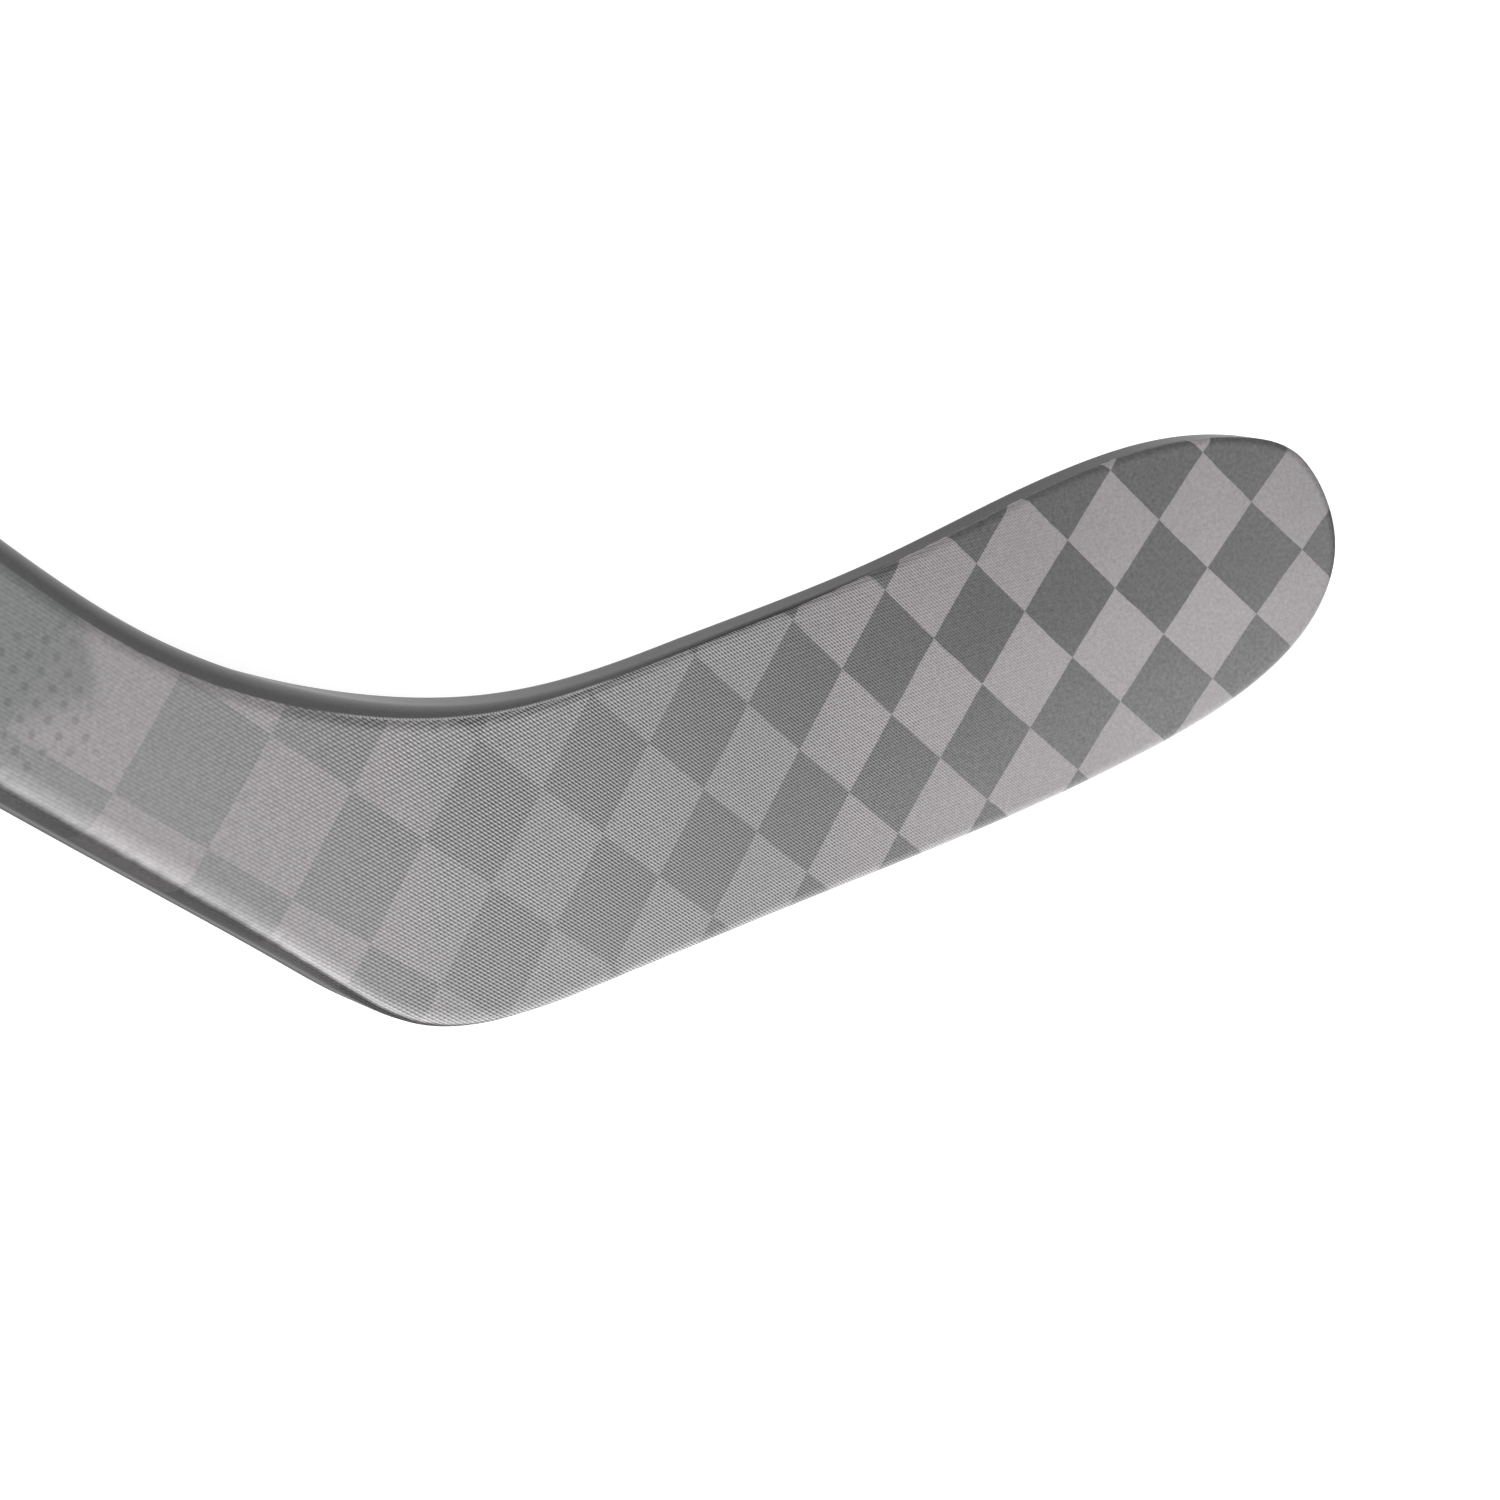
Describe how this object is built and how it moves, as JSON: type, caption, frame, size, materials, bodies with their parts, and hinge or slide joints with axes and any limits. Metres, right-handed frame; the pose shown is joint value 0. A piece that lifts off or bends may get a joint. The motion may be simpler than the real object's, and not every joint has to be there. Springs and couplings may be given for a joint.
{
  "type": "ice hockey stick",
  "caption": "Composite ice hockey stick for a left-handed player: hollow carbon shaft with a butt plug, and a curved, foam-cored blade with a woven spread-tow face.",
  "frame": {"origin": "middle of the shaft's wide underside, half way from the butt end to the heel", "axes": "+X along the shaft from the butt end to the blade, +Z square to the shaft's wide faces on the hollow side of the blade, +Y the way the blade leans"},
  "size_m": [1.6749, 0.2236, 0.0896],
  "materials": {
    "shaft_carbon": "satin clear coat over carbon",
    "blade_face": "satin spread-tow carbon under resin with a fine peel-ply texture",
    "edge_carbon": "matte carbon and resin",
    "inner_carbon": "rough carbon",
    "plug_rubber": "matte",
    "foam": "fine closed-cell foam",
    "epoxy": "cured adhesive"
  },
  "bodies": {
    "root": {"shaft_tube": "shaft_carbon", "butt_plug": "plug_rubber", "shaft_foam_plug": "foam", "tenon_bond": "epoxy", "joint_wrap": "shaft_carbon", "tenon_tube": "inner_carbon", "tenon_core": "foam", "forehand_skin": "blade_face", "backhand_skin": "blade_face", "top_edge_wrap": "edge_carbon", "toe_edge_wrap": "edge_carbon", "bottom_edge_wrap": "edge_carbon", "heel_edge_wrap": "edge_carbon", "toe_core": "foam", "bridge_rib": "inner_carbon", "upper_core": "foam", "lower_core": "foam", "heel_core": "foam", "hosel_filler": "epoxy"}
  },
  "joints": []
}
